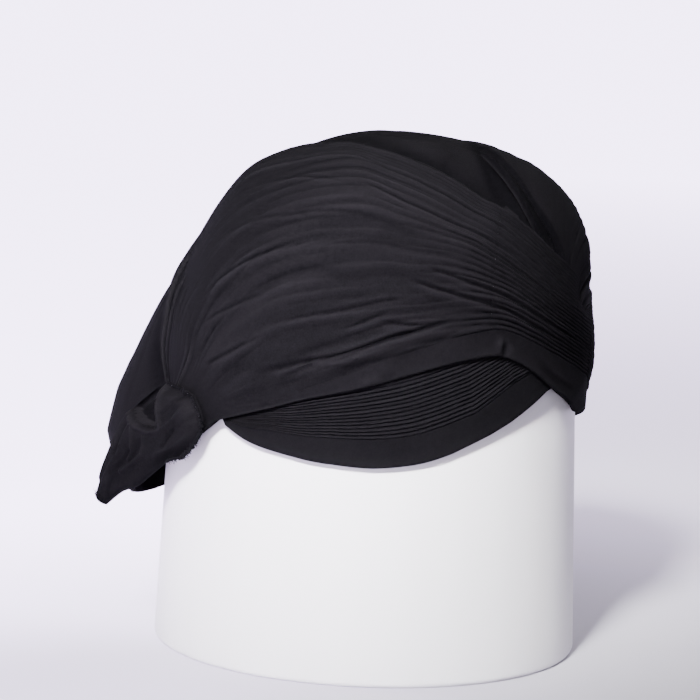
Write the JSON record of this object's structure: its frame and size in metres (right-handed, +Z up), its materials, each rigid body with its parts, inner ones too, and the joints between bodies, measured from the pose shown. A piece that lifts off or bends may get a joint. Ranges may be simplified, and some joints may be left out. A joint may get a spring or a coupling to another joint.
{
  "type": "blangkon on a plain cylindrical display stand",
  "caption": "Black cloth head-dress of pleated wraps that cross at the forehead over a fitted crown, with a rounded nape pouch and knotted side tails, on a plain round stand.",
  "frame": {"origin": "centre of the stand's foot, on the surface that it stands on", "axes": "+Z up; the front of the hat faces -Y and the wearer's right side is at -X"},
  "size_m": [0.1885, 0.2104, 0.218],
  "materials": {
    "black_cotton": "matt plain weave",
    "white_stand": "satin"
  },
  "bodies": {
    "root": {"display_stand": "white_stand", "crown": "black_cotton", "left_wrap": "black_cotton", "right_wrap": "black_cotton", "left_tail": "black_cotton", "right_tail": "black_cotton"}
  },
  "joints": []
}
